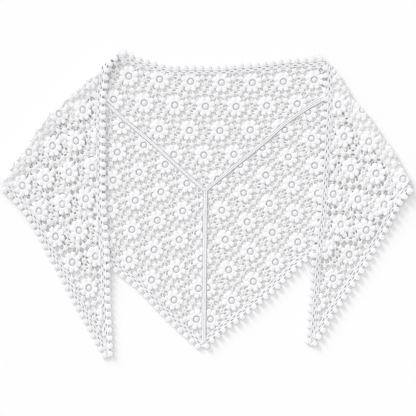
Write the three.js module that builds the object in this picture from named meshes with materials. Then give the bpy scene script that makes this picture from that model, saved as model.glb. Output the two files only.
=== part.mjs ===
// A triangular lace shawl laid flat, its two long ends folded forward over the back.
// Millimetres, +Z up, +Y towards the neck edge. Every layer rests on z = 0 or on the layer below.
import * as THREE from 'three';

// Cloth sizes
const clothThickness = 2;
const seamGap = 0.3;
const daisyRadius = 16.5;
const daisyNotch = 14;
const daisyRelief = 1.6;
const petalCount = 8;
const gapRadius = 3.3;
const gapSides = 3;

// Edging sizes, measured from the cord that runs round every free edge
const bandWidth = 8.5;
const picotFoot = 1;
const picotHeight = 7.6;
const picotPitch = 12.5;
const picotShoulder = 0.2;

// Seam tape sizes
const vTapeWidth = 5.5;
const centreTapeWidth = 6.6;
const tapeStep = 13;
const tapeSection = [
  { across: -0.5, height: 2.1 },
  { across: -0.3, height: 3 },
  { across: 0, height: 2.3 },
  { across: 0.3, height: 3 },
  { across: 0.5, height: 2.1 },
];

// Fold and layer sizes
const foldRadius = 4.5;
const foldReach = 12;
const foldStep = 18;
const foldGap = 0.6;
const foldArcSteps = 6;
const foldFade = 45;
const layerHeight = clothThickness + daisyRelief + seamGap;
const dropStart = 9;
const dropLength = 40;

// Spacing of the points that carry each wall
const edgeStep = 12;
const innerStep = 24;
const clearOfEdge = 7;
const curveSteps = 80;
const lineReach = 90;
const nudge = 0.0005;

// Moves the lines below so that the shawl's box is centred on the origin
const centring = { x: -0.5, y: 4 };

// Columns x, y: each line of the shawl as it lies, seen from above
const lines = {
  neck: [[-154, 255], [-146, 252], [-126, 242], [-102, 235], [-70, 229], [-37, 226], [-2, 226],
    [39, 228], [94, 232], [139, 237], [169, 240], [200, 242]],
  foldLeft: [[-154, 253], [-172, 238], [-195, 218], [-217, 199], [-240, 179], [-271, 145],
    [-294, 118], [-316, 87], [-334, 57], [-350, 30]],
  foldRight: [[205, 240], [220, 220], [247, 184], [279, 143], [301, 107], [324, 75], [344, 39],
    [351, 21]],
  innerLeft: [[-159, 251], [-169, 241], [-175, 228], [-180, 202], [-180, 172], [-178, 125],
    [-176, 6], [-172, -123], [-168, -230], [-168, -249]],
  innerRight: [[203, 242], [202, 176], [198, 120], [195, 76], [191, -14], [184, -124],
    [181, -163], [177, -202], [175, -238]],
  tailTipsLeft: [[-351, 24], [-341, 15], [-320, -6], [-303, -29], [-290, -47], [-260, -108],
    [-232, -166], [-194, -236], [-177, -259]],
  tailTipsRight: [[350, 20], [328, -6], [306, -37], [281, -73], [264, -120], [250, -142],
    [220, -186], [194, -228], [176, -249]],
  backHemLeft: [[-344, 26], [-250, -37], [-153, -104], [-80, -173], [-5, -239]],
  backHemRight: [[-5, -239], [84, -163], [175, -88], [260, -31], [343, 23]],
  centre: [[-3, 23], [-6, -235]],
  vLeft: [[-210, 205], [-171, 170], [-139, 141], [-93, 102], [-48, 61], [-5, 23]],
  vRight: [[243, 190], [197, 177], [139, 141], [94, 102], [18, 40], [-2, 23]],
};

// The daisy lattice of each panel: one daisy, the steps to two neighbours, and the width kept in x
const lattices = {
  yoke: { start: [-29.4, 123.6], across: [51.9, 0], along: [-26.5, -40.1], squeeze: 1 },
  backLeft: { start: [-84, -29.8], across: [37.9, -36], along: [6.3, 53.2], squeeze: 1 },
  backRight: { start: [68.3, -33.8], across: [37.6, 32.5], along: [5.4, -49.6], squeeze: 1 },
  frontLeft: { start: [-246, -1.4], across: [39.3, 10.4], along: [-10.9, -52.7], squeeze: 0.82 },
  frontRight: { start: [242.9, 59.5], across: [44.9, -9.9], along: [-28.9, -42.3], squeeze: 0.87 },
};
const latticeReach = 12;
// Gaps at the middle of the two triangles between daisies, and halfway between two of them
const gapPlaces = [[2 / 3, 1 / 3], [1 / 3, 2 / 3], [1 / 2, 1 / 2]];

const laceFinish = new THREE.MeshStandardMaterial({ color: 0xf2f1f4, roughness: 0.85, metalness: 0 });
const cordFinish = new THREE.MeshStandardMaterial({ color: 0xf6f5f8, roughness: 0.75, metalness: 0 });

// Plane lines

const point = (x, y) => new THREE.Vector2(x, y);

function curveThrough(rows) {
  const curve = new THREE.SplineCurve(rows.map(([x, y]) => point(x, y)));
  return curve.getSpacedPoints(curveSteps);
}

function reversed(line) {
  return [...line].reverse();
}

// Moves a line sideways, to its left where the distance is positive
function shifted(line, distance) {
  return line.map((here, i) => {
    const before = line[Math.max(i - 1, 0)];
    const after = line[Math.min(i + 1, line.length - 1)];
    const way = after.clone().sub(before).normalize();
    return point(here.x - way.y * distance, here.y + way.x * distance);
  });
}

function lengthened(line) {
  const startWay = line[0].clone().sub(line[1]).setLength(lineReach);
  const last = line.length - 1;
  const endWay = line[last].clone().sub(line[last - 1]).setLength(lineReach);
  return [line[0].clone().add(startWay), ...line, line[last].clone().add(endWay)];
}

// The first place along a line where it crosses another line
function crossing(line, other) {
  for (let i = 0; i < line.length - 1; i += 1) {
    const way = line[i + 1].clone().sub(line[i]);
    for (let j = 0; j < other.length - 1; j += 1) {
      const otherWay = other[j + 1].clone().sub(other[j]);
      const between = other[j].clone().sub(line[i]);
      const spread = way.cross(otherWay);
      const here = between.cross(otherWay) / spread;
      const there = between.cross(way) / spread;
      if (spread !== 0 && here >= 0 && here <= 1 && there >= 0 && there <= 1) {
        return { at: i + here, place: line[i].clone().addScaledVector(way, here) };
      }
    }
  }
  throw new Error('two lines of the shawl never cross');
}

// The stretch of a line between the lines that end it
function trimmed(line, startLine, endLine) {
  const long = lengthened(line);
  const start = crossing(long, lengthened(startLine));
  const end = crossing(long, lengthened(endLine));
  const between = long.filter((_, i) => i > start.at + 0.01 && i < end.at - 0.01);
  return [start.place, ...between, end.place];
}

function lengthOf(line) {
  let total = 0;
  for (let i = 1; i < line.length; i += 1) {
    total += line[i].distanceTo(line[i - 1]);
  }
  return total;
}

function evenly(line, steps) {
  const path = new THREE.CurvePath();
  for (let i = 1; i < line.length; i += 1) {
    path.add(new THREE.LineCurve(line[i - 1], line[i]));
  }
  return path.getSpacedPoints(steps);
}

// A closed outline from lines that run round it in turn, each ended by its neighbours
function outlineFrom(sides) {
  return sides.flatMap((side, i) => {
    const before = sides[(i + sides.length - 1) % sides.length];
    const after = sides[(i + 1) % sides.length];
    const stretch = trimmed(side, before, after);
    const steps = Math.ceil(lengthOf(stretch) / edgeStep);
    return evenly(stretch, steps).slice(0, steps);
  });
}

function nearestOn(line, place) {
  let best = { distance: Infinity, side: 1 };
  for (let i = 1; i < line.length; i += 1) {
    const way = line[i].clone().sub(line[i - 1]);
    const toPlace = place.clone().sub(line[i - 1]);
    const share = THREE.MathUtils.clamp(toPlace.dot(way) / way.lengthSq(), 0, 1);
    const distance = toPlace.addScaledVector(way, -share).length();
    if (distance < best.distance) {
      best = { distance, side: Math.sign(toPlace.cross(way)) || 1 };
    }
  }
  return best;
}

function isInside(loop, place) {
  let inside = false;
  loop.forEach((here, i) => {
    const next = loop[(i + 1) % loop.length];
    const spans = here.y > place.y !== next.y > place.y;
    const crossX = here.x + ((place.y - here.y) / (next.y - here.y)) * (next.x - here.x);
    if (spans && place.x < crossX) {
      inside = !inside;
    }
  });
  return inside;
}

function clearance(loop, place) {
  return nearestOn([...loop, loop[0]], place).distance;
}

// Triangles

// Delaunay triangles of the points, one point added at a time
function triangulate(points) {
  const count = points.length;
  const far = 1e5;
  const places = points.map((p, i) => point(p.x + nudge * Math.sin(12.9 * i), p.y + nudge * Math.cos(7.7 * i)));
  places.push(point(-far, -far), point(far, -far), point(0, far));
  let triangles = [withCircle(places, [count, count + 1, count + 2])];
  for (let i = 0; i < count; i += 1) {
    const reached = triangles.filter((t) => places[i].distanceToSquared(t.middle) < t.radiusSquared);
    const kept = triangles.filter((t) => !reached.includes(t));
    const sides = reached.flatMap(({ corners: [a, b, c] }) => [[a, b], [b, c], [c, a]]);
    const keys = new Set(sides.map((side) => side.join()));
    const rim = sides.filter(([a, b]) => !keys.has([b, a].join()));
    triangles = [...kept, ...rim.map(([a, b]) => withCircle(places, [a, b, i]))];
  }
  return triangles.map((t) => t.corners).filter((corners) => corners.every((corner) => corner < count));
}

function withCircle(places, corners) {
  const [a, b, c] = corners.map((corner) => places[corner]);
  const ab = b.clone().sub(a);
  const ac = c.clone().sub(a);
  const twice = 2 * ab.cross(ac);
  const toMiddle = point(
    (ac.y * ab.lengthSq() - ab.y * ac.lengthSq()) / twice,
    (ab.x * ac.lengthSq() - ac.x * ab.lengthSq()) / twice,
  );
  return { corners, middle: a.clone().add(toMiddle), radiusSquared: toMiddle.lengthSq() };
}

// A closed wall from matching lists of top and bottom points, their triangles and their rims
function wallMesh(name, finish, top, bottom, topFaces, bottomFaces, rims) {
  const below = top.length;
  const index = [...topFaces.flat(), ...bottomFaces.flatMap(([a, b, c]) => [below + a, below + c, below + b])];
  for (const rim of rims) {
    rim.forEach((here, i) => {
      const next = rim[(i + 1) % rim.length];
      index.push(below + here, below + next, next, below + here, next, here);
    });
  }
  const geometry = new THREE.BufferGeometry();
  const places = [...top, ...bottom].flatMap((p) => [p.x, p.y, p.z]);
  geometry.setAttribute('position', new THREE.Float32BufferAttribute(places, 3));
  geometry.setIndex(index);
  geometry.computeVertexNormals();
  const mesh = new THREE.Mesh(geometry, finish);
  mesh.name = name;
  return mesh;
}

// Lace panels

function latticePlaces({ start, across, along }, [u, v]) {
  const places = [];
  for (let i = -latticeReach; i <= latticeReach; i += 1) {
    for (let j = -latticeReach; j <= latticeReach; j += 1) {
      places.push(point(
        start[0] + (i + u) * across[0] + (j + v) * along[0],
        start[1] + (i + u) * across[1] + (j + v) * along[1],
      ));
    }
  }
  return places;
}

function ringRound(centre, radii, squeeze) {
  return radii.map((radius, i) => {
    const turn = (2 * Math.PI * i) / radii.length;
    return point(centre.x + radius * squeeze * Math.cos(turn), centre.y + radius * Math.sin(turn));
  });
}

// A daisy's points with their relief: a ring of petal ends and notches, a raised ring, a bead
function daisyPoints(centre, squeeze) {
  const edge = Array.from({ length: 2 * petalCount }, (_, i) => (i % 2 ? daisyNotch : daisyRadius));
  const crown = Array(petalCount).fill(0.72 * daisyRadius);
  return [
    ...ringRound(centre, edge, squeeze).map((place) => ({ place, relief: 0 })),
    ...ringRound(centre, crown, squeeze).map((place) => ({ place, relief: daisyRelief })),
    { place: centre, relief: 0.6 * daisyRelief },
  ];
}

function lacePanel(name, outline, lattice, hidden, underside) {
  const shows = (place, room) =>
    isInside(outline, place) && clearance(outline, place) > room && !hidden(place);
  const daisies = latticePlaces(lattice, [0, 0]).filter((place) => shows(place, daisyRadius + 1));
  const gaps = gapPlaces
    .flatMap((share) => latticePlaces(lattice, share))
    .filter((place) => shows(place, gapRadius + clearOfEdge))
    .map((centre) => reversed(ringRound(centre, Array(gapSides).fill(gapRadius), 1)));
  const fill = fillPlaces(outline).filter((place) => {
    const nearDaisy = daisies.some((daisy) => daisy.distanceTo(place) < daisyRadius + clearOfEdge);
    const nearGap = gaps.some((gap) => gap[0].distanceTo(place) < 2 * gapRadius + clearOfEdge);
    return !nearDaisy && !nearGap;
  });
  const plain = [...outline, ...gaps.flat(), ...fill];
  const raised = daisies.flatMap((centre) => daisyPoints(centre, lattice.squeeze));
  const raisedPlaces = raised.map(({ place }) => place);
  const isCloth = (places) => (corners) => {
    const middle = point(0, 0);
    corners.forEach((corner) => middle.addScaledVector(places[corner], 1 / 3));
    return isInside(outline, middle) && !gaps.some((gap) => isInside(gap, middle));
  };
  const topPlaces = [...plain, ...raisedPlaces];
  const relief = [...plain.map(() => 0), ...raised.map((spot) => spot.relief)];
  const top = topPlaces.map((p, i) => new THREE.Vector3(p.x, p.y, underside(p) + clothThickness + relief[i]));
  const bottom = plain.map((p) => new THREE.Vector3(p.x, p.y, underside(p)));
  const rims = [outline.map((_, i) => i)];
  gaps.forEach((gap, i) => rims.push(gap.map((_, k) => outline.length + i * gapSides + k)));
  return wallMesh(
    name, laceFinish, top, bottom,
    triangulate(topPlaces).filter(isCloth(topPlaces)),
    triangulate(plain).filter(isCloth(plain)),
    rims,
  );
}

// A coarse grid of points that lets a panel follow its rise and fall
function fillPlaces(outline) {
  const box = new THREE.Box2().setFromPoints(outline);
  const places = [];
  for (let x = box.min.x; x < box.max.x; x += innerStep) {
    for (let y = box.min.y; y < box.max.y; y += innerStep) {
      places.push(point(x, y));
    }
  }
  return places.filter((place) => isInside(outline, place) && clearance(outline, place) > clearOfEdge);
}

// Strips: rows of points run side by side, the first row on the right

function strip(name, rows, heights, underside, picots) {
  const steps = rows[0].length - 1;
  const places = rows.flat();
  const lifts = rows.flatMap((row, i) => row.map(() => heights[i]));
  const at = (row, step) => row * (steps + 1) + step;
  const faces = [];
  for (let row = 0; row < rows.length - 1; row += 1) {
    for (let k = 0; k < steps; k += 1) {
      faces.push([at(row, k), at(row, k + 1), at(row + 1, k + 1)]);
      faces.push([at(row, k), at(row + 1, k + 1), at(row + 1, k)]);
    }
  }
  const outside = [0];
  for (let k = 0; k < steps; k += 1) {
    if (picots) {
      const foot = rows[0][k];
      const way = rows[0][k + 1].clone().sub(foot);
      const out = point(way.y, -way.x).setLength(picotHeight - picotFoot);
      const first = places.length;
      places.push(foot.clone().addScaledVector(way, picotShoulder).add(out));
      places.push(foot.clone().addScaledVector(way, 1 - picotShoulder).add(out));
      lifts.push(heights[0], heights[0]);
      faces.push([k, first, first + 1], [k, first + 1, k + 1]);
      outside.push(first, first + 1);
    }
    outside.push(k + 1);
  }
  const lastRow = rows.length - 1;
  const endSide = rows.slice(1, -1).map((_, i) => at(i + 1, steps));
  const inside = rows[lastRow].map((_, i) => at(lastRow, steps - i));
  const startSide = rows.slice(1, -1).map((_, i) => at(lastRow - 1 - i, 0));
  const rim = [...outside, ...endSide, ...inside, ...startSide];
  const top = places.map((p, i) => new THREE.Vector3(p.x, p.y, underside(p) + lifts[i]));
  const bottom = places.map((p) => new THREE.Vector3(p.x, p.y, underside(p)));
  return wallMesh(name, cordFinish, top, bottom, faces, faces, [rim]);
}

function edging(name, cord, startCut, endCut, underside) {
  const offsets = [-picotFoot, bandWidth];
  const stretches = offsets.map((offset) => trimmed(shifted(cord, offset), startCut(offset), endCut(offset)));
  const picotSteps = Math.round(lengthOf(stretches[0]) / picotPitch);
  const rows = stretches.map((stretch) => evenly(stretch, picotSteps));
  return strip(name, rows, [clothThickness, clothThickness], underside, true);
}

function seamTape(name, seam, width, startCut, endCut) {
  const rows = tapeSection.map(({ across }) => {
    const offset = across * width;
    return trimmed(shifted(seam, offset), startCut(offset), endCut(offset));
  });
  const steps = Math.round(lengthOf(rows[0]) / tapeStep);
  const heights = tapeSection.map(({ height }) => height);
  return strip(name, rows.map((row) => evenly(row, steps)), heights, () => 0, false);
}

// Folds

// The cloth's section where it turns over: a lower leg, a half round and an upper leg
function foldSection() {
  const arc = (radius, from, to, steps) => Array.from({ length: steps + 1 }, (_, i) => {
    const turn = THREE.MathUtils.lerp(from, to, i / steps);
    return { inward: foldRadius - radius * Math.sin(turn), height: foldRadius - radius * Math.cos(turn) };
  });
  const innerRadius = foldRadius - clothThickness;
  return [
    { inward: foldReach, height: 0 },
    ...arc(foldRadius, 0, Math.PI, foldArcSteps),
    { inward: foldReach, height: 2 * foldRadius },
    { inward: foldReach, height: 2 * foldRadius - clothThickness },
    ...arc(innerRadius, Math.PI, 0, foldArcSteps - 2),
    { inward: foldReach, height: clothThickness },
  ];
}

function foldStrip(name, fold) {
  const steps = Math.round(lengthOf(fold) / foldStep);
  const section = foldSection();
  const rings = section.map(({ inward }) => evenly(shifted(fold, inward), steps));
  const places = [];
  for (let k = 0; k <= steps; k += 1) {
    section.forEach(({ height }, i) => places.push(rings[i][k].x, rings[i][k].y, height));
  }
  const size = section.length;
  const index = [];
  for (let k = 0; k < steps; k += 1) {
    for (let i = 0; i < size; i += 1) {
      const here = k * size + i;
      const next = k * size + ((i + 1) % size);
      index.push(here, next + size, next, here, here + size, next + size);
    }
  }
  const flat = section.map(({ inward, height }) => point(inward, height));
  for (const [a, b, c] of THREE.ShapeUtils.triangulateShape(flat, [])) {
    index.push(a, c, b, steps * size + a, steps * size + b, steps * size + c);
  }
  const geometry = new THREE.BufferGeometry();
  geometry.setAttribute('position', new THREE.Float32BufferAttribute(places, 3));
  geometry.setIndex(index);
  geometry.computeVertexNormals();
  const mesh = new THREE.Mesh(geometry, laceFinish);
  mesh.name = name;
  return mesh;
}

// Every line runs so that its own panel lies to its left
const neck = reversed(curveThrough(lines.neck));
const foldLeft = curveThrough(lines.foldLeft);
const foldRight = reversed(curveThrough(lines.foldRight));
const innerLeft = reversed(curveThrough(lines.innerLeft));
const innerRight = curveThrough(lines.innerRight);
const tailHemLeft = shifted(curveThrough(lines.tailTipsLeft), picotHeight);
const tailHemRight = shifted(reversed(curveThrough(lines.tailTipsRight)), picotHeight);
const backHemLeft = curveThrough(lines.backHemLeft);
const backHemRight = curveThrough(lines.backHemRight);
const centre = curveThrough(lines.centre);
const vLeft = curveThrough(lines.vLeft);
const vRight = reversed(curveThrough(lines.vRight));

const besideBand = bandWidth + seamGap;
const besideFold = foldReach + foldGap;
const besideV = vTapeWidth / 2 + seamGap;
const besideCentre = centreTapeWidth / 2 + seamGap;

const outlines = {
  yoke: outlineFrom([
    shifted(neck, besideBand), shifted(foldLeft, besideFold), shifted(vLeft, besideV),
    shifted(vRight, besideV), shifted(foldRight, besideFold),
  ]),
  backLeft: outlineFrom([
    shifted(reversed(vLeft), besideV), shifted(foldLeft, besideFold),
    shifted(backHemLeft, besideBand), shifted(reversed(centre), besideCentre),
  ]),
  backRight: outlineFrom([
    shifted(centre, besideCentre), shifted(backHemRight, besideBand),
    shifted(foldRight, besideFold), shifted(reversed(vRight), besideV),
  ]),
  frontLeft: outlineFrom([
    shifted(foldLeft, besideFold), shifted(tailHemLeft, besideBand), shifted(innerLeft, besideBand),
  ]),
  frontRight: outlineFrom([
    shifted(innerRight, besideBand), shifted(tailHemRight, besideBand), shifted(foldRight, besideFold),
  ]),
};

// Heights: a front lies on the back, rises to its fold and drops to the ground past the back's hem
function frontUnderside(fold, backHem) {
  const rise = 2 * foldRadius - clothThickness - layerHeight;
  const longHem = lengthened(backHem);
  return (place) => {
    const fromFold = nearestOn(fold, place).distance;
    const hem = nearestOn(longHem, place);
    const pastHem = hem.distance * hem.side;
    const dropped = THREE.MathUtils.smoothstep(pastHem, dropStart, dropStart + dropLength);
    const settled = THREE.MathUtils.smoothstep(fromFold, foldReach, foldReach + foldFade);
    return layerHeight * (1 - dropped) + rise * (1 - settled);
  };
}
const onGround = () => 0;
const underFrontLeft = frontUnderside(foldLeft, backHemLeft);
const underFrontRight = frontUnderside(foldRight, backHemRight);

// Stretches of the back that a front covers stay plain
const coveredByFront = (place) =>
  isInside(outlines.frontLeft, place) || isInside(outlines.frontRight, place);
const showsAll = () => false;

// What ends a strip: another edge with the same offset, a fold, or the tapes that meet it
const atEdge = (cord) => (offset) => shifted(cord, offset + seamGap);
const atFold = (fold) => () => shifted(fold, besideFold);
const atBackHem = (offset) => shifted(offset <= 0 ? backHemLeft : backHemRight, besideBand);
const underTapes = () => shifted(reversed(vLeft), vTapeWidth / 2 + seamGap);

const shawl = new THREE.Group();
shawl.add(
  lacePanel('yoke', outlines.yoke, lattices.yoke, coveredByFront, onGround),
  lacePanel('back_left', outlines.backLeft, lattices.backLeft, coveredByFront, onGround),
  lacePanel('back_right', outlines.backRight, lattices.backRight, coveredByFront, onGround),
  lacePanel('front_left', outlines.frontLeft, lattices.frontLeft, showsAll, underFrontLeft),
  lacePanel('front_right', outlines.frontRight, lattices.frontRight, showsAll, underFrontRight),
  foldStrip('fold_left', foldLeft),
  foldStrip('fold_right', foldRight),
  seamTape('seam_v_left', vLeft, vTapeWidth, atFold(foldLeft), atEdge(vRight)),
  seamTape('seam_v_right', vRight, vTapeWidth, atEdge(vLeft), atFold(foldRight)),
  seamTape('seam_centre', centre, centreTapeWidth, underTapes, atBackHem),
  edging('edging_neck', neck, atFold(foldRight), atFold(foldLeft), onGround),
  edging('edging_inner_left', innerLeft, atEdge(tailHemLeft), atFold(foldLeft), underFrontLeft),
  edging('edging_tail_left', tailHemLeft, atFold(foldLeft), atEdge(innerLeft), underFrontLeft),
  edging('edging_inner_right', innerRight, atFold(foldRight), atEdge(tailHemRight), underFrontRight),
  edging('edging_tail_right', tailHemRight, atEdge(innerRight), atFold(foldRight), underFrontRight),
  edging('edging_back_left', backHemLeft, atFold(foldLeft), atEdge(backHemRight), onGround),
  edging('edging_back_right', backHemRight, atEdge(backHemLeft), atFold(foldRight), onGround),
);

shawl.position.set(centring.x, centring.y, 0);

export default shawl;
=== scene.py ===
# A triangular lace shawl laid flat on a pale table, its two long ends folded forward over the back.
# The cloth is planned in millimetres, +Y towards the neck edge, and becomes metres in its meshes.
import math

import bpy
import numpy as np
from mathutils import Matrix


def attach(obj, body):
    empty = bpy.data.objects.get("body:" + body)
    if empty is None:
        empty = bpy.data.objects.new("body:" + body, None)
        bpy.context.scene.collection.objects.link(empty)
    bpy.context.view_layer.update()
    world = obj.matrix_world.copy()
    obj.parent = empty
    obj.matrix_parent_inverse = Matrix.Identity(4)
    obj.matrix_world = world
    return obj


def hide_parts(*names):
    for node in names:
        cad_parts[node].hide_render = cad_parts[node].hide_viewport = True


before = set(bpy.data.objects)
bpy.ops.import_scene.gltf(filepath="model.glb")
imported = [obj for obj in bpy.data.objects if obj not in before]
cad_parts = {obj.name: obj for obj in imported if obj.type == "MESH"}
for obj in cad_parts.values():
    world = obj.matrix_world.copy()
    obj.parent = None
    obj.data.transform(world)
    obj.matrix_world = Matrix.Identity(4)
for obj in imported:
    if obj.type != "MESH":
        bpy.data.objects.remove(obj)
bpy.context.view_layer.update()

METRES = 0.001

# The photograph's frame, seen from straight above
PICTURE_SIDE = 0.7072
PICTURE_CENTRE = (0.0007, -0.00365)
CAMERA_HEIGHT = 2.4
SENSOR = 36

# Cloth: its thickness, how high the fronts lie over the table, how a fold turns and ends, how far
# the back is lifted beside it, and where a front drops past the back's hem
CLOTH = 2.0
LAYER = 2.0
FOLD_RADIUS = 3.0
FOLD_REACH = 6.0
FOLD_FADE = 22.0
FOLD_JOIN = 12.6
FOLD_UNDER = FOLD_RADIUS - math.pi * (FOLD_RADIUS - CLOTH / 2) - (FOLD_JOIN - FOLD_RADIUS)
BACK_LIFT = 2.2
DROP_START = 9.0
DROP_LENGTH = 40.0

# The relief is pressed by this share, between two angles of the cloth's turn under the fold
PRESSED_SHARE = 0.44
PRESSED_FROM = 1.2
PRESSED_BY = 2.6

# The plain strip behind the lace of a fold
BACKING_INSET = 1.0
BACKING_REACH = 26.0
BACKING_HEIGHT = 1.4
BACKING_ROWS = 18

# How far from the lines of its hems, seams and folds the lace of a panel ends
LACE_EDGE = 7.6
BESIDE_V = 3.4
BESIDE_CENTRE = 3.8
BESIDE_FOLD = 3.4

# Lines: the steps between two read points, the steps of a whole line, how far it is drawn on, and
# the small distances that keep its sums safe
CURVE_STEPS = 24
LINE_STEPS = 120
LINE_REACH = 90.0
FAR_REACH = 4 * LINE_REACH
CLEAR_OF_END = 0.01
SHORTEST = 1e-9
NEARLY_PARALLEL = 1e-12
CENTRING = np.array([-0.5, 4.0])

# Daisy, from its bead out to its petal ends: radius and height
DAISY_TOP = 3.6
DAISY_PROFILE = [
    (2.0, 3.4),
    (3.7, 2.8),
    (4.6, 1.7),
    (5.2, 0.4),
    (5.7, 1.4),
    (6.2, 3.2),
    (8.1, 3.4),
    (9.2, 3.1),
    (11.0, 3.5),
    (15.3, 3.5),
    (16.1, 3.3),
    (16.8, 2.1),
    (17.0, 0.8),
]
PETALS = 8
PETAL_STEPS = 6
PETAL_START = 9.2
DAISY_RADIUS = 17.0
NOTCH_RADIUS = 13.9
NOTCH_DEPTH = 2.0
CREASE_START = 0.55
CREASE_FADE = 0.5
DAISY_THREADS = 9

# Buds, bars and picots: flat topped, the netting held a little off the table by the daisies
BUD_SIDES = 10
BUD_RADIUS = 4.8
BUD_SIZES = (0.93, 1.07)
BUD_STRAY = 0.4
BUD_THREADS = 4
BUD_TOP = 2.7
BUD_PROFILE = [(3.7, 2.6), (4.2, 2.45), (4.6, 1.9), (4.8, 1.0)]
RING_BUD_TOP = 1.7
RING_BUD_PROFILE = [(1.1, 1.8), (2.0, 2.5), (3.9, 2.5), (4.5, 1.9), (4.8, 1.0)]
BAR_WIDTH = 3.5
BAR_RIM = 0.4
BAR_CROWN = 0.27
BAR_LOW = 1.0
BAR_TOP = 2.1
BAR_BETWEEN_BUDS = 15.0
BAR_TO_DAISY = 25.9
BAR_END_ON_DAISY = 16.0
BAR_END_IN_BUD = 3.4
PICOT_SIDES = 12
PICOT_SIZES = (0.95, 1.05)
PICOT_TOP = 5.1
PICOT_PROFILE = [(3.2, 5.1), (4.1, 5.0), (4.6, 4.4), (4.9, 2.8), (5.0, 0.6)]
PICOT_LOBE = 0.04
PICOT_CORNERS = 4
PICOT_FROM_CORD = 4.0

# The buds of one repeat, from a daisy's middle; the fifth one has a dimple
BUDS = [
    (-8.2, -21.9),
    (4.8, -22.8),
    (17.3, -18.9),
    (31.6, -17.7),
    (26.2, -2.4),
    (19.7, 7.0),
    (32.3, 7.0),
    (22.6, -11.1),
    (35.5, -11.1),
]
RING_BUD = 4
# Bars are sought from one repeat to these, so that each pair of buds comes up once
ONWARD_REPEATS = ((0, 0), (0, 1), (1, -1), (1, 0), (1, 1))
DAISIES_NEAR = (-1, 0, 1, 2)

# The repeat as it was stitched, and how each panel's cloth lies: the place of one daisy, the two
# steps to its neighbours, and how those steps change along, across and down the cloth
STITCHED_STEPS = np.array([(51.9, 0.0), (-26.5, -40.1)])
LIES = {
    "yoke": [
        (-30.3, 127.8), (51.5, -1.4), (-26.9, -41.0), (0.0, 0.9), (-0.5, -0.2), (0.1, -0.2),
    ],
    "back_left": [
        (-85.2, -24.8), (37.4, -33.3), (-43.2, -15.8), (0.0, 0.4), (0.3, -1.2), (0.2, 0.0),
    ],
    "back_right": [
        (67.4, -27.5), (37.3, 30.7), (5.7, -49.6), (0.3, 0.4), (-0.1, 1.0), (-0.2, -0.5),
    ],
    "front_left": [
        (-246.2, 2.5), (39.6, 10.5), (-11.5, -54.6), (0.0, -1.2), (0.0, 1.5), (0.0, -0.4),
    ],
    "front_right": [
        (243.1, 63.5), (42.1, -8.8), (-30.2, -44.4), (1.1, -0.2), (-1.1, 0.1), (0.7, 0.5),
    ],
}
MOTIF_GIVE = 0.4
REPEATS_REACH = 12
REPEAT_MARGIN = 90
SEED = 8

# Each line of the shawl as it lies, seen from above: the cords of its hems, its folds and its seams
NECK = [
    (-154, 253), (-147, 253), (-138, 250), (-125, 244), (-108, 239), (-92, 234), (-77, 230),
    (-62, 227), (-34, 227), (-6, 227), (22, 227), (51, 230), (79, 232), (106, 235), (131, 238),
    (155, 240), (178, 241), (201, 243),
]
FOLD_LEFT = [
    (-154, 253), (-172, 238), (-195, 218), (-218, 200), (-241, 179), (-263, 159), (-278, 142),
    (-291, 125), (-303, 108), (-314, 91), (-326, 74), (-336, 57), (-349, 30),
]
FOLD_RIGHT = [
    (205, 240), (220, 222), (229, 210), (239, 193), (250, 176), (264, 159), (279, 142),
    (291, 125), (301, 110), (309, 98), (324, 75), (344, 39), (351, 21),
]
INNER_LEFT = [
    (-158, 249), (-166, 241), (-172, 231), (-175, 217), (-176, 202), (-179, 188), (-180, 161),
    (-180, 132), (-180, 91), (-180, 35), (-179, -6), (-176, -45), (-174, -74), (-173, -101),
    (-172, -142), (-171, -178), (-169, -215), (-168, -241), (-168, -254),
]
INNER_RIGHT = [
    (203, 243), (205, 218), (205, 196), (205, 167), (203, 137), (201, 108), (200, 77),
    (198, 47), (196, 16), (194, -13), (190, -43), (188, -74), (185, -103), (183, -133),
    (181, -162), (178, -193), (176, -224), (176, -240),
]
TAIL_LEFT = [
    (-352, 37), (-336, 21), (-316, 0), (-302, -18), (-288, -41), (-275, -66), (-262, -91),
    (-249, -114), (-236, -139), (-223, -164), (-210, -187), (-197, -210), (-185, -232),
    (-175, -250),
]
TAIL_RIGHT = [
    (351, 37), (338, 20), (323, 1), (317, -12), (304, -37), (291, -61), (277, -83), (264, -106),
    (249, -129), (234, -151), (220, -173), (207, -191), (194, -214), (177, -240),
]
BACK_HEM_LEFT = [
    (-344, 26), (-250, -39), (-182, -87), (-151, -112), (-120, -136), (-102, -153), (-84, -173),
    (-65, -192), (-44, -212), (-23, -231), (-5, -247),
]
BACK_HEM_RIGHT = [
    (-5, -241), (7, -229), (27, -211), (49, -196), (69, -180), (89, -163), (109, -146),
    (126, -129), (144, -111), (162, -95), (185, -79), (260, -31), (343, 24),
]
CENTRE = [(-3, 23), (-4, -62), (-5, -164), (-6, -238)]
V_LEFT = [(-210, 205), (-171, 170), (-139, 141), (-93, 102), (-48, 61), (-5, 23)]
V_RIGHT = [(243, 190), (197, 177), (139, 141), (94, 102), (18, 40), (-2, 23)]

# Sections of the seam tapes and the edging's ridges: across and height
V_TAPE = [
    (-3.6, 0.4), (-2.8, 0.6), (-2.75, 3.2), (-2.4, 4.0), (-0.6, 4.1), (0.0, 3.1), (0.6, 4.1),
    (2.4, 4.0), (2.75, 3.2), (2.8, 0.6), (3.6, 0.4),
]
CENTRE_TAPE = [
    (-3.9, 0.4), (-3.3, 0.6), (-3.25, 3.2), (-2.9, 3.9), (-0.4, 4.0), (0.1, 3.3), (0.6, 4.0),
    (2.9, 3.9), (3.25, 3.2), (3.3, 0.6), (3.9, 0.4),
]
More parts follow.
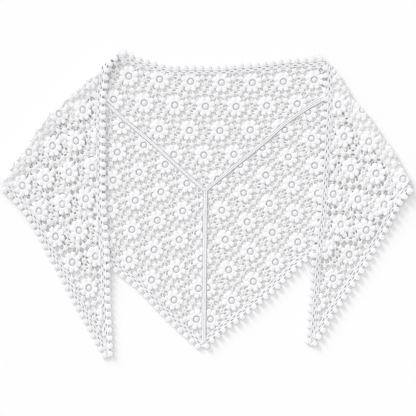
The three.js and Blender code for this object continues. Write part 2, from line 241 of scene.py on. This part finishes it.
# The hem's band: rows of points inwards from its cord, then the rows that have slits inside them
HEM_BAND = [
    (-1.2, 0.2), (-0.9, 2.7), (0.0, 3.4), (0.9, 2.9), (1.5, 2.6), (2.8, 2.6), (3.7, 3.0),
    (4.6, 2.6), (5.8, 2.6), (7.0, 3.0), (8.0, 2.4), (8.5, 0.6),
]
SLIT_AFTER_ROW = {4: 0, 7: 4}
STEPS_PER_PICOT = 8
SLIT_STEPS = 3
TAPE_STEP = 4.0

# Cotton: the colour and its shade in the clouds, how strongly the thread stands out, and the painted
# shade that darkens its low parts
LACE_COLOURS = ((0.945, 0.945, 0.97), (0.925, 0.925, 0.95))
CORD_COLOURS = ((0.905, 0.905, 0.935), (0.885, 0.885, 0.915))
LACE_THREAD = 0.5
CORD_THREAD = 0.4
THREAD_PITCH = 3.0
THREAD_HEIGHT = 0.0003
THREAD_WAVER = 1.2
THREAD_DETAIL = 2
COTTON_ROUGHNESS = 0.82
COTTON_SPECULAR = 0.25
COTTON_SHEEN = 0.1
SHEEN_ROUGHNESS = 0.5
CLOUD_SCALE = 60
CLOUD_DETAIL = 3
CLOUD_SPAN = (0.3, 0.62)
# Painted shade: where the cloth is low, in grooves, gaps and rims, the colour is darkened towards this
# warm grey to stand in for the shade there
PAINTED_HOLLOW_SHADE = (0.83, 0.815, 0.78)
PAINTED_SHADE_SPAN = (0.15, 0.88)

# Table and light
TABLE_SIDE = 6
TABLE_COLOUR = (0.96, 0.96, 0.96)
TABLE_ROUGHNESS = 0.9
TABLE_SPECULAR = 0.1
SKY_STRENGTH = 0.815
KEY_STRENGTH = 2.0
KEY_FROM = (-0.65, 0.76)
KEY_ELEVATION = 20
KEY_SPREAD = 24

random = np.random.default_rng(SEED)


# Plane lines


def evenly(line, steps):
    """The line's points, moved along it to even steps."""
    along = np.concatenate([[0], np.cumsum(np.linalg.norm(np.diff(line, axis=0), axis=1))])
    at = np.linspace(0, along[-1], steps + 1)
    return np.column_stack([np.interp(at, along, line[:, 0]), np.interp(at, along, line[:, 1])])


def length_of(line):
    return np.linalg.norm(np.diff(line, axis=0), axis=1).sum()


def curve_through(rows):
    """A smooth line through the points, in evenly spaced places."""
    knots = np.array(rows, float) + CENTRING
    held = np.vstack([knots[:1], knots, knots[-1:]])
    t = np.linspace(0, 1, CURVE_STEPS, endpoint=False)[:, None]
    places = []
    for before, start, end, after in zip(held, held[1:], held[2:], held[3:]):
        lead = (end - before) / 2
        tail = (after - start) / 2
        cubic = (2 * start - 2 * end + lead + tail) * t**3
        square = (3 * end - 3 * start - 2 * lead - tail) * t**2
        places.append(cubic + square + lead * t + start)
    return evenly(np.vstack([*places, knots[-1:]]), LINE_STEPS)


def left_of(ways):
    """The unit way to the left of each way."""
    turned = np.column_stack([-ways[:, 1], ways[:, 0]])
    return turned / np.maximum(np.linalg.norm(turned, axis=1, keepdims=True), SHORTEST)


def shifted(line, distance):
    """The line moved sideways, to its left where the distance is positive."""
    ways = np.vstack([line[1:2] - line[:1], line[2:] - line[:-2], line[-1:] - line[-2:-1]])
    return line + left_of(ways) * distance


def lengthened(line, reach=LINE_REACH):
    """The line drawn straight on past both of its ends."""
    first = line[0] - line[1]
    last = line[-1] - line[-2]
    start = line[0] + first / np.linalg.norm(first) * reach
    end = line[-1] + last / np.linalg.norm(last) * reach
    return np.vstack([start, line, end])


def crossing(line, other):
    """How many points along the line, and where, it first crosses another line."""
    way = np.diff(line, axis=0)[:, None]
    other_way = np.diff(other, axis=0)[None]
    between = other[None, :-1] - line[:-1, None]
    spread = way[..., 0] * other_way[..., 1] - way[..., 1] * other_way[..., 0]
    spread = np.where(np.abs(spread) < NEARLY_PARALLEL, NEARLY_PARALLEL, spread)
    here = (between[..., 0] * other_way[..., 1] - between[..., 1] * other_way[..., 0]) / spread
    there = (between[..., 0] * way[..., 1] - between[..., 1] * way[..., 0]) / spread
    met = (here >= 0) & (here <= 1) & (there >= 0) & (there <= 1)
    step, which = np.argwhere(met)[0]
    return step + here[step, which], line[step] + way[step, 0] * here[step, which]


def trimmed(line, start_line, end_line):
    """The stretch of a line between the lines that end it."""
    long = lengthened(line)
    start, start_place = crossing(long, lengthened(start_line))
    end, end_place = crossing(long, lengthened(end_line))
    number = np.arange(len(long))
    between = long[(number > start + CLEAR_OF_END) & (number < end - CLEAR_OF_END)]
    return np.vstack([start_place, between, end_place])


def beside(line, points):
    """How far left of a line each point lies, and the way to its left."""
    long = lengthened(line, FAR_REACH)
    best = np.full(len(points), np.inf)
    side = np.ones(len(points))
    way = np.zeros((len(points), 2))
    for start, step in zip(long[:-1], np.diff(long, axis=0)):
        to_point = points - start
        share = np.clip(to_point @ step / (step @ step), 0, 1)
        away = to_point - share[:, None] * step
        far = np.hypot(away[:, 0], away[:, 1])
        nearer = far < best
        turned = np.array([-step[1], step[0]]) / np.hypot(*step)
        best[nearer] = far[nearer]
        side[nearer] = np.where(away[nearer] @ turned < 0, -1, 1)
        way[nearer] = turned
    return best * side, way


def smoothstep(value, start, end):
    """0 before the start and 1 past the end, with a soft rise between them."""
    share = np.clip((value - start) / (end - start), 0, 1)
    return share * share * (3 - 2 * share)


# Every line runs so that its own panel lies to its left
neck = curve_through(NECK)[::-1]
fold_left = curve_through(FOLD_LEFT)
fold_right = curve_through(FOLD_RIGHT)[::-1]
inner_left = curve_through(INNER_LEFT)[::-1]
inner_right = curve_through(INNER_RIGHT)
tail_hem_left = curve_through(TAIL_LEFT)
tail_hem_right = curve_through(TAIL_RIGHT)[::-1]
back_hem_left = curve_through(BACK_HEM_LEFT)
back_hem_right = curve_through(BACK_HEM_RIGHT)
centre_line = curve_through(CENTRE)
v_left = curve_through(V_LEFT)
v_right = curve_through(V_RIGHT)[::-1]


# How the cloth lies


def on_ground(places, heights):
    """The back lies on the table, lifted a little beside the folds that it runs into."""
    lifted = np.zeros(len(places))
    for fold in (fold_left, fold_right):
        from_fold = beside(fold, places)[0]
        lifted += BACK_LIFT * (1 - smoothstep(from_fold, FOLD_REACH, FOLD_REACH + FOLD_FADE))
    return np.column_stack([places, heights + lifted])


def front_lay(fold, back_hem):
    """A front lies on the back, drops past the back's hem and turns over at its fold."""
    inner_radius = FOLD_RADIUS - CLOTH
    middle_radius = FOLD_RADIUS - CLOTH / 2
    rise = 2 * FOLD_RADIUS - CLOTH - LAYER

    def lay(places, heights):
        from_fold, inward = beside(fold, places)
        past_hem = -beside(back_hem, places)[0]
        dropped = smoothstep(past_hem, DROP_START, DROP_START + DROP_LENGTH)
        settled = smoothstep(from_fold, FOLD_REACH, FOLD_REACH + FOLD_FADE)
        underside = LAYER * (1 - dropped) + rise * (1 - settled)
        turn = np.clip((FOLD_RADIUS - from_fold) / middle_radius, 0, math.pi)
        below = np.maximum(FOLD_RADIUS - math.pi * middle_radius - from_fold, 0)
        pressed = heights * (1 - PRESSED_SHARE * smoothstep(turn, PRESSED_FROM, PRESSED_BY))
        rolled_in = FOLD_RADIUS - (inner_radius + pressed) * np.sin(turn) + below
        rolled_up = FOLD_RADIUS + (inner_radius + pressed) * np.cos(turn)
        rolled = from_fold < FOLD_RADIUS
        moved = places + inward * np.where(rolled, rolled_in - from_fold, 0)[:, None]
        return np.column_stack([moved, np.where(rolled, rolled_up, underside + heights)])

    return lay


over_back_left = front_lay(fold_left, back_hem_left)
over_back_right = front_lay(fold_right, back_hem_right)


# Modelling one of each motif


def start_from_nothing_selected():
    if bpy.context.object and bpy.context.object.mode != "OBJECT":
        bpy.ops.object.mode_set(mode="OBJECT")
    bpy.ops.object.select_all(action="DESELECT")


def taken():
    """The active object's points and faces as a motif, in an order that is the same each run."""
    thing = bpy.context.object
    mesh = thing.data
    points = np.array([vertex.co for vertex in mesh.vertices], float)
    order = np.lexsort(points.T)
    number = np.argsort(order)
    faces = [tuple(int(number[corner]) for corner in face.vertices) for face in mesh.polygons]
    bpy.data.objects.remove(thing)
    bpy.data.meshes.remove(mesh)
    return points[order], sorted(faces)


def turned_rings(sides, top, profile):
    """A disc drawn out ring by ring: a fan at the top, then each ring pulled out to its size."""
    start_from_nothing_selected()
    first_radius, first_height = profile[0]
    bpy.ops.mesh.primitive_circle_add(vertices=sides, radius=first_radius, fill_type="TRIFAN")
    disc = bpy.context.object
    middle = min(disc.data.vertices, key=lambda vertex: vertex.co.xy.length)
    middle.co.z = top - first_height
    for vertex in disc.data.vertices:
        vertex.co.z += first_height
    bpy.ops.object.mode_set(mode="EDIT")
    bpy.context.tool_settings.mesh_select_mode = (False, True, False)
    bpy.ops.mesh.select_all(action="DESELECT")
    bpy.ops.mesh.select_non_manifold()
    radius, height = first_radius, first_height
    for next_radius, next_height in profile[1:]:
        rise = (0, 0, next_height - height)
        bpy.ops.mesh.extrude_edges_move(TRANSFORM_OT_translate={"value": rise})
        size = next_radius / radius
        bpy.ops.transform.resize(value=(size, size, 1), center_override=(0, 0, 0))
        radius, height = next_radius, next_height
    bpy.ops.mesh.select_all(action="SELECT")
    bpy.ops.mesh.normals_make_consistent(inside=False)
    bpy.ops.object.mode_set(mode="OBJECT")


def daisy_motif():
    """A bead in a dimple, and round it petals drawn in and creased where they meet."""
    sides = PETALS * PETAL_STEPS
    turned_rings(sides, DAISY_TOP, DAISY_PROFILE)
    points, faces = taken()
    radius = np.hypot(points[:, 0], points[:, 1])
    angle = np.arctan2(points[:, 1], points[:, 0])
    petal = 2 * math.pi / PETALS
    from_petal = np.abs((angle + petal / 2) % petal - petal / 2) / (petal / 2)
    lobe = np.sqrt(np.clip(1 - from_petal**2, 0, 1))
    share = np.clip((radius - PETAL_START) / (DAISY_RADIUS - PETAL_START), 0, 1)
    reach = NOTCH_RADIUS + (DAISY_RADIUS - NOTCH_RADIUS) * lobe
    size = 1 + share * (reach / DAISY_RADIUS - 1)
    points[:, :2] *= size[:, None]
    crease = smoothstep(from_petal, CREASE_START, 1) * smoothstep(share, 0, CREASE_FADE)
    points[:, 2] = np.maximum(points[:, 2] - NOTCH_DEPTH * crease, 0)
    thread = np.column_stack([angle * DAISY_THREADS, radius])
    return points, faces, thread


def bud_motif(top, profile):
    turned_rings(BUD_SIDES, top, profile)
    points, faces = taken()
    radius = np.hypot(points[:, 0], points[:, 1])
    angle = np.arctan2(points[:, 1], points[:, 0])
    return points, faces, np.column_stack([angle * BUD_THREADS, radius])


def bar_motif():
    """A bar one long in x, its section a low arch in y."""
    start_from_nothing_selected()
    bpy.ops.mesh.primitive_grid_add(x_subdivisions=2, y_subdivisions=3, size=1, location=(0, 0, 0))
    # The grid is one wide: its outer rows become the bar's rims and the inner ones its crown
    for vertex in bpy.context.object.data.vertices:
        at_rim = abs(vertex.co.y) > BAR_RIM
        vertex.co.x += 0.5
        vertex.co.y = math.copysign(BAR_WIDTH * (0.5 if at_rim else BAR_CROWN), vertex.co.y)
        vertex.co.z = BAR_LOW if at_rim else BAR_TOP
    points, faces = taken()
    return points, faces, None


def picot_motif():
    """A knob beside the cord, between round and square."""
    turned_rings(PICOT_SIDES, PICOT_TOP, PICOT_PROFILE)
    points, faces = taken()
    angle = np.arctan2(points[:, 1], points[:, 0])
    points[:, :2] *= (1 - PICOT_LOBE * np.cos(PICOT_CORNERS * angle))[:, None]
    return points, faces, points[:, :2].copy()


daisy = daisy_motif()
bud = bud_motif(BUD_TOP, BUD_PROFILE)
ring_bud = bud_motif(RING_BUD_TOP, RING_BUD_PROFILE)
bar = bar_motif()
picot = picot_motif()


# Gathering copies into one piece of cloth


class Cloth:
    """Copies of motifs in the plane of the flat cloth, with their heights and thread ways."""

    def __init__(self):
        self.places = []
        self.heights = []
        self.threads = []
        self.faces = []
        self.count = 0

    def add(self, places, heights, threads, faces):
        start = self.count
        self.places.append(places)
        self.heights.append(heights)
        self.threads.append(threads)
        self.faces.extend([tuple(start + corner for corner in face) for face in faces])
        self.count += len(places)

    def gathered(self):
        heights = np.concatenate(self.heights)
        return np.vstack(self.places), heights, np.vstack(self.threads), self.faces


def finished(name, cloth, lay, edges, replaced, slot):
    """Cuts the gathered motifs at the panel's edges, lays them down and makes the piece."""
    places, heights, threads, faces = cloth.gathered()
    outside = np.zeros(len(places), bool)
    for line in edges:
        room, way = beside(line, places)
        over = room < 0
        outside |= over
        places = places + way * np.where(over, -room, 0)[:, None]
    faces = [face for face in faces if not outside[list(face)].all()]
    laid = lay(places, heights) * METRES
    return made(name, laid, heights, threads, faces, replaced, slot)


def made(name, points, heights, threads, faces, replaced, slot):
    """A piece of the points that its faces use, with its finish, on the one body."""
    corners_used = np.concatenate([np.array(face) for face in faces])
    used, corner = np.unique(corners_used, return_inverse=True)
    mesh = bpy.data.meshes.new(name)
    ends = np.cumsum([len(face) for face in faces])
    starts = np.concatenate([[0], ends[:-1]])
    mesh.vertices.add(len(used))
    mesh.vertices.foreach_set("co", points[used].ravel())
    mesh.loops.add(len(corner))
    mesh.loops.foreach_set("vertex_index", corner)
    mesh.polygons.add(len(faces))
    mesh.polygons.foreach_set("loop_start", starts)
    mesh.update(calc_edges=True)
    layer = mesh.uv_layers.new(name="thread")
    layer.data.foreach_set("uv", threads[used][corner].ravel())
    rise = mesh.attributes.new("rise", "FLOAT", "POINT")
    rise.data.foreach_set("value", heights[used].astype(np.float32))
    mesh.validate()
    mesh.shade_smooth()
    piece = bpy.data.objects.new(name, mesh)
    bpy.context.scene.collection.objects.link(piece)
    piece.data.materials.append(finishes[slot])
    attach(piece, "root")
    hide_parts(*replaced)
    return piece


# Thread finishes


def toned(tree, share, span, first_colour, last_colour):
    """The tone between two colours, where a share passes through a span."""
    ramp = tree.nodes.new("ShaderNodeValToRGB")
    for element, place, colour in zip(ramp.color_ramp.elements, span, (first_colour, last_colour)):
        element.position = place
        element.color = (*colour, 1)
    tree.links.new(share, ramp.inputs["Fac"])
    return ramp.outputs["Color"]


def cotton(name, colours, strength):
    """Matt cotton: a faint cloudy tone, a painted shade that darkens and warms the colour where the
    relief is low, and ridges across the thread way.
    """
    finish = bpy.data.materials.new(name)
    finish.use_nodes = True
    tree = finish.node_tree
    nodes, links = tree.nodes, tree.links
    shader = nodes["Principled BSDF"]
    shader.inputs["Roughness"].default_value = COTTON_ROUGHNESS
    shader.inputs["Sheen Weight"].default_value = COTTON_SHEEN
    shader.inputs["Sheen Roughness"].default_value = SHEEN_ROUGHNESS
    shader.inputs["Specular IOR Level"].default_value = COTTON_SPECULAR
    place = nodes.new("ShaderNodeTexCoord")
    cloud = nodes.new("ShaderNodeTexNoise")
    cloud.inputs["Scale"].default_value = CLOUD_SCALE
    cloud.inputs["Detail"].default_value = CLOUD_DETAIL
    links.new(place.outputs["Object"], cloud.inputs["Vector"])
    colour, shade_colour = colours
    tone = toned(tree, cloud.outputs["Fac"], CLOUD_SPAN, shade_colour, colour)
    # Painted shade: the colour darkens towards a warm grey as the relief's height falls, standing in
    # for the shade in its hollows
    rise = nodes.new("ShaderNodeAttribute")
    rise.attribute_name = "rise"
    to_share = nodes.new("ShaderNodeMath")
    to_share.operation = "MULTIPLY"
    to_share.inputs[1].default_value = 1 / DAISY_TOP
    links.new(rise.outputs["Fac"], to_share.inputs[0])
    painted_shade = toned(tree, to_share.outputs["Value"], PAINTED_SHADE_SPAN, PAINTED_HOLLOW_SHADE, (1, 1, 1))
    shade = nodes.new("ShaderNodeMix")
    shade.data_type = "RGBA"
    shade.blend_type = "MULTIPLY"
    shade.inputs["Factor"].default_value = 1
    links.new(tone, shade.inputs["A"])
    links.new(painted_shade, shade.inputs["B"])
    links.new(shade.outputs["Result"], shader.inputs["Base Color"])
    stitches = nodes.new("ShaderNodeTexWave")
    stitches.wave_type = "BANDS"
    stitches.bands_direction = "X"
    stitches.inputs["Scale"].default_value = 1 / THREAD_PITCH
    stitches.inputs["Distortion"].default_value = THREAD_WAVER
    stitches.inputs["Detail"].default_value = THREAD_DETAIL
    links.new(place.outputs["UV"], stitches.inputs["Vector"])
    bump = nodes.new("ShaderNodeBump")
    bump.inputs["Strength"].default_value = strength
    bump.inputs["Distance"].default_value = THREAD_HEIGHT
    links.new(stitches.outputs["Color"], bump.inputs["Height"])
    links.new(bump.outputs["Normal"], shader.inputs["Normal"])
    return finish


finishes = {
    "lace": cotton("lace_cotton", LACE_COLOURS, LACE_THREAD),
    "cord": cotton("cord_cotton", CORD_COLOURS, CORD_THREAD),
}


# Lace


def bar_ends():
    """Both ends of every bar of one repeat."""
    buds = np.array(BUDS)
    steps = STITCHED_STEPS
    repeats = [np.array(repeat) for repeat in ONWARD_REPEATS]
    ends = []
    for first in range(len(buds)):
        for second in range(len(buds)):
            for repeat in repeats:
                if not repeat.any() and second <= first:
                    continue
                out = buds[second] + repeat @ steps - buds[first]
                far = np.hypot(*out)
                if far < BAR_BETWEEN_BUDS:
                    ends.append((buds[first] + out / far * BAR_END_IN_BUD,
                                 buds[first] + out / far * (far - BAR_END_IN_BUD)))
        for along in DAISIES_NEAR:
            for down in DAISIES_NEAR:
                middle = np.array((along, down)) @ steps
                out = buds[first] - middle
                far = np.hypot(*out)
                if far < BAR_TO_DAISY:
                    ends.append((middle + out / far * BAR_END_ON_DAISY,
                                 middle + out / far * (far - BAR_END_IN_BUD)))
    return ends


def lie_of(panel):
    """How the panel's stitched cloth lies on the table."""
    terms = np.array(LIES[panel], float)

    def lie(stitched):
        along, down = np.linalg.solve(STITCHED_STEPS.T, stitched.T)
        powers = [np.ones(len(along)), along, down, along**2, along * down, down**2]
        return np.column_stack(powers) @ terms

    return lie


def kept_round(lie, centre):
    """The shape that a motif takes: it gives less than the netting round it."""
    ends = lie(centre + np.array([(0, 0), (1, 0), (0, 1)]))
    pulled = (ends[1:] - ends[0]).T
    left, sizes, right = np.linalg.svd(pulled)
    even = left @ right * math.sqrt(sizes[0] * sizes[1])
    return even + MOTIF_GIVE * (pulled - even)


def lace(panel, edges):
    """Daisies, buds and bars over the whole panel, in the plane of its flat cloth."""
    lie = lie_of(panel)
    span = range(-REPEATS_REACH, REPEATS_REACH + 1)
    repeats = np.array([(along, down) for along in span for down in span]) @ STITCHED_STEPS
    near = np.full(len(repeats), True)
    for line in edges:
        near &= beside(line, lie(repeats))[0] > -REPEAT_MARGIN
    bars = bar_ends()
    placed = []
    for repeat in repeats[near]:
        placed.append((daisy, turned_by(math.pi / PETALS), repeat, DAISY_RADIUS))
        for number, spot in enumerate(BUDS):
            shape = random.uniform(*BUD_SIZES) * turned_by(random.uniform(0, math.pi))
            motif = ring_bud if number == RING_BUD else bud
            strayed = repeat + np.array(spot) + random.uniform(-BUD_STRAY, BUD_STRAY, 2)
            placed.append((motif, shape, strayed, BUD_RADIUS))
        for first, second in bars:
            placed.append((bar, second - first, repeat + first, np.hypot(*(second - first))))
    spots = lie(np.array([spot for _, _, spot, _ in placed]))
    room = np.min([beside(line, spots)[0] for line in edges], axis=0)
    cloth = Cloth()
    for (motif, shape, spot, reach), inside in zip(placed, room):
        if inside <= -reach:
            continue
        points, faces, threads = motif
        if motif is bar:
            long = np.hypot(*shape)
            across = np.array([-shape[1], shape[0]]) / long
            flat = lie(spot + np.outer(points[:, 0], shape) + np.outer(points[:, 1], across))
            threads = np.column_stack([points[:, 0] * long, points[:, 1]])
        else:
            flat = lie(spot[None]) + points[:, :2] @ (kept_round(lie, spot) @ shape).T
        cloth.add(flat, points[:, 2], threads, faces)
    return cloth


def turned_by(angle):
    """The shape of a motif that keeps its size and is turned round its middle."""
    across, up = math.cos(angle), math.sin(angle)
    return np.array([[across, -up], [up, across]])


def strip_rows(line, section, steps):
    """A section swept along a line, as rows of points from its right side to its left."""
    middle = evenly(line, steps)
    rows = [shifted(middle, across) for across, _ in section]
    places = np.vstack(rows)
    heights = np.repeat([height for _, height in section], steps + 1)
    along = np.tile(np.linspace(0, length_of(middle), steps + 1), len(section))
    threads = np.column_stack([along, heights])
    faces = []
    for row in range(len(section) - 1):
        for step in range(steps):
            here = row * (steps + 1) + step
            faces.append((here, here + 1, here + steps + 2, here + steps + 1))
    return places, heights, threads, faces


def edging(line, pitch, picot_size, picot_rise):
    """A band with its cord and two rows of slits, and a picot beside it at every pitch."""
    cloth = Cloth()
    count = round(length_of(line) / pitch)
    steps = count * STEPS_PER_PICOT
    places, heights, threads, faces = strip_rows(line, HEM_BAND, steps)
    kept = []
    for number, face in enumerate(faces):
        row, step = divmod(number, steps)
        if row in SLIT_AFTER_ROW and (step + SLIT_AFTER_ROW[row]) % STEPS_PER_PICOT < SLIT_STEPS:
            continue
        kept.append(face)
    cloth.add(places, heights, threads, kept)
    spots = evenly(line, 2 * count)
    ways = np.gradient(spots, axis=0)
    ways /= np.linalg.norm(ways, axis=1, keepdims=True)
    points, faces, threads = picot
    for spot, way in zip(spots[1::2], ways[1::2]):
        size = picot_size * random.uniform(*PICOT_SIZES, 3)
        side = np.array([-way[1], way[0]])
        outwards = points[:, 1] * size[1] - PICOT_FROM_CORD * picot_size
        flat = spot + np.outer(points[:, 0] * size[0], way) + np.outer(outwards, side)
        cloth.add(flat, points[:, 2] * size[2] * picot_rise, threads, faces)
    return cloth


# The panels: the lines inside the hems, tapes and folds that cover their edges, how they lie, and
# the solids that they stand for
panels = {
    "yoke": (
        [
            shifted(neck, LACE_EDGE),
            shifted(fold_left, BESIDE_FOLD),
            shifted(v_left, BESIDE_V),
            shifted(v_right, BESIDE_V),
            shifted(fold_right, BESIDE_FOLD),
        ],
        on_ground,
        ["yoke"],
    ),
    "back_left": (
        [
            shifted(v_left[::-1], BESIDE_V),
            shifted(fold_left, BESIDE_FOLD),
            shifted(back_hem_left, LACE_EDGE),
            shifted(centre_line[::-1], BESIDE_CENTRE),
        ],
        on_ground,
        ["back_left"],
    ),
    "back_right": (
        [
            shifted(centre_line, BESIDE_CENTRE),
            shifted(back_hem_right, LACE_EDGE),
            shifted(fold_right, BESIDE_FOLD),
            shifted(v_right[::-1], BESIDE_V),
        ],
        on_ground,
        ["back_right"],
    ),
    "front_left": (
        [
            shifted(fold_left, FOLD_UNDER),
            shifted(tail_hem_left, LACE_EDGE),
            shifted(inner_left, LACE_EDGE),
            neck,
        ],
        over_back_left,
        ["front_left", "fold_left"],
    ),
    "front_right": (
        [
            shifted(inner_right, LACE_EDGE),
            shifted(tail_hem_right, LACE_EDGE),
            shifted(fold_right, FOLD_UNDER),
        ],
        over_back_right,
        ["front_right", "fold_right"],
    ),
}
# At a fold the layer behind closes the gaps of the lace that turns over
backing_rows = np.linspace(FOLD_UNDER + BACKING_INSET, BACKING_REACH, BACKING_ROWS)
backing = [(across, BACKING_HEIGHT) for across in backing_rows]
folds = {"front_left": fold_left, "front_right": fold_right}
for panel, (edges, lay, replaced) in panels.items():
    cloth = lace(panel, edges)
    if panel in folds:
        cloth.add(*strip_rows(folds[panel], backing, LINE_STEPS))
    finished(f"{panel}_lace", cloth, lay, edges, replaced, "lace")

# The hems: their lines, the lines where they start and end, how they lie, and their picots' pitch,
# size and rise. The picots on the sides away from the light stand up the most
at_fold_left = shifted(fold_left, FOLD_RADIUS)
at_fold_right = shifted(fold_right, FOLD_RADIUS)
hems = {
    "edging_neck": (neck, at_fold_right, at_fold_left, on_ground, 13.8, 0.9, 0.75),
    "edging_inner_left": (inner_left, tail_hem_left, neck, over_back_left, 13.4, 1, 1),
    "edging_tail_left": (tail_hem_left, at_fold_left, inner_left, over_back_left, 13.4, 1, 0.75),
    "edging_inner_right": (inner_right, at_fold_right, tail_hem_right, over_back_right, 13.4, 1, 0.65),
    "edging_tail_right": (tail_hem_right, inner_right, at_fold_right, over_back_right, 13.4, 1, 1),
    "edging_back_left": (back_hem_left, at_fold_left, back_hem_right, on_ground, 13.7, 1, 0.8),
    "edging_back_right": (back_hem_right, back_hem_left, at_fold_right, on_ground, 13.1, 1, 1),
}
for name, (line, start_line, end_line, lay, pitch, picot_size, picot_rise) in hems.items():
    hem = edging(trimmed(line, start_line, end_line), pitch, picot_size, picot_rise)
    finished(f"{name}_trim", hem, lay, [], [name], "cord")

# The seam tapes
tapes = {
    "seam_v_left": (trimmed(v_left, shifted(fold_left, FOLD_JOIN), v_right), V_TAPE),
    "seam_v_right": (trimmed(v_right, v_left, shifted(fold_right, FOLD_JOIN)), V_TAPE),
    "seam_centre": (trimmed(centre_line, v_left[::-1], shifted(back_hem_left, LACE_EDGE)), CENTRE_TAPE),
}
for name, (line, section) in tapes.items():
    tape = Cloth()
    steps = round(length_of(line) / TAPE_STEP)
    tape.add(*strip_rows(line, section, steps))
    finished(f"{name}_tape", tape, on_ground, [], [name], "cord")

# The scene round the shawl
bpy.ops.object.select_all(action="DESELECT")
bpy.ops.mesh.primitive_plane_add(size=TABLE_SIDE, location=(0, 0, 0))
table = bpy.context.object
table.name = "table_top"
table_finish = bpy.data.materials.new("white_table")
table_finish.use_nodes = True
table_shader = table_finish.node_tree.nodes["Principled BSDF"]
table_shader.inputs["Base Color"].default_value = (*TABLE_COLOUR, 1)
table_shader.inputs["Roughness"].default_value = TABLE_ROUGHNESS
table_shader.inputs["Specular IOR Level"].default_value = TABLE_SPECULAR
table.data.materials.append(table_finish)

scene = bpy.context.scene
scene.view_settings.view_transform = "Standard"
sky = bpy.data.worlds.new("studio")
sky.use_nodes = True
background = sky.node_tree.nodes["Background"]
background.inputs["Color"].default_value = (1, 1, 1, 1)
background.inputs["Strength"].default_value = SKY_STRENGTH
scene.world = sky

key = bpy.data.lights.new("key_light", "SUN")
key.energy = KEY_STRENGTH
key.angle = math.radians(KEY_SPREAD)
key_lamp = bpy.data.objects.new("key_light", key)
key_side = math.atan2(KEY_FROM[1], KEY_FROM[0])
key_lamp.rotation_euler = (math.radians(90 - KEY_ELEVATION), 0, key_side + math.pi / 2)
scene.collection.objects.link(key_lamp)

camera_data = bpy.data.cameras.new("camera")
camera_data.sensor_width = SENSOR
camera_data.lens = SENSOR * CAMERA_HEIGHT / PICTURE_SIDE
camera = bpy.data.objects.new("camera", camera_data)
camera.location = (*PICTURE_CENTRE, CAMERA_HEIGHT)
scene.collection.objects.link(camera)
scene.camera = camera
